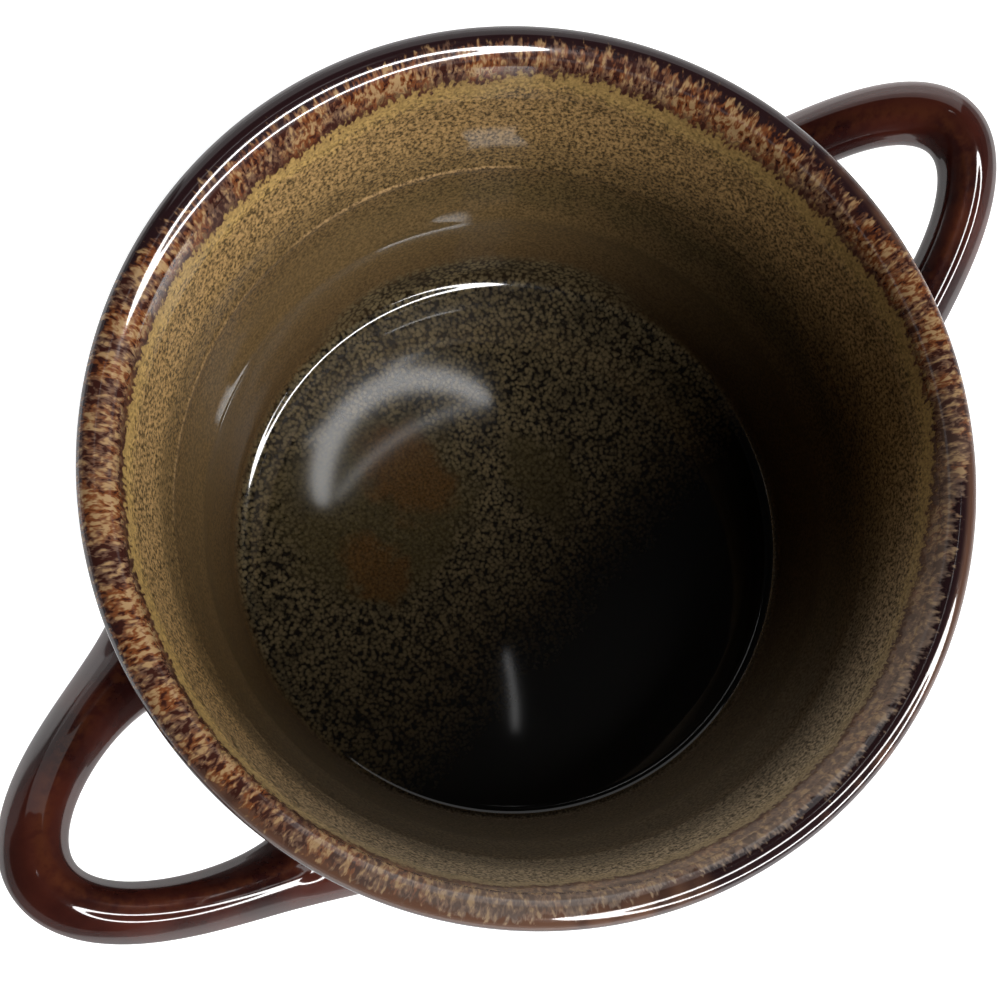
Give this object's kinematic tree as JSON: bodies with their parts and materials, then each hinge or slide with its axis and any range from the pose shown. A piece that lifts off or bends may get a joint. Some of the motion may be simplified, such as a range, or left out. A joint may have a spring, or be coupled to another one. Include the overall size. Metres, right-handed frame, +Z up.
{
  "type": "two-handled soup bowl",
  "caption": "Deep round stoneware soup bowl with a steep wall, a turned foot ring and a rising loop handle on each side, glazed dark outside and speckled ochre inside.",
  "frame": {"origin": "on the bowl's axis, in the plane that the foot ring stands on", "axes": "+Z up along the bowl's axis, +X towards the right handle, -X towards the left handle"},
  "size_m": [0.1928, 0.127, 0.0715],
  "materials": {
    "stoneware_clay": "bare fired clay, matt and slightly gritty",
    "handle_glaze": "glossy dark red-brown glaze that breaks to amber on edges",
    "slip": "matt fired slip, hidden in the joint",
    "liner_glaze": "glossy ochre to olive glaze with fine dark speckle, near black on the floor",
    "rim_glaze": "glossy streaked glaze, rust and cream running down from a dark lip",
    "outer_glaze": "glossy dark red-brown glaze"
  },
  "bodies": {
    "root": {"body": "stoneware_clay", "handle_left": "handle_glaze", "handle_right": "handle_glaze", "slip_joint_left": "slip", "slip_joint_right": "slip", "liner_glaze": "liner_glaze", "rim_glaze": "rim_glaze", "outer_glaze": "outer_glaze"}
  },
  "joints": []
}
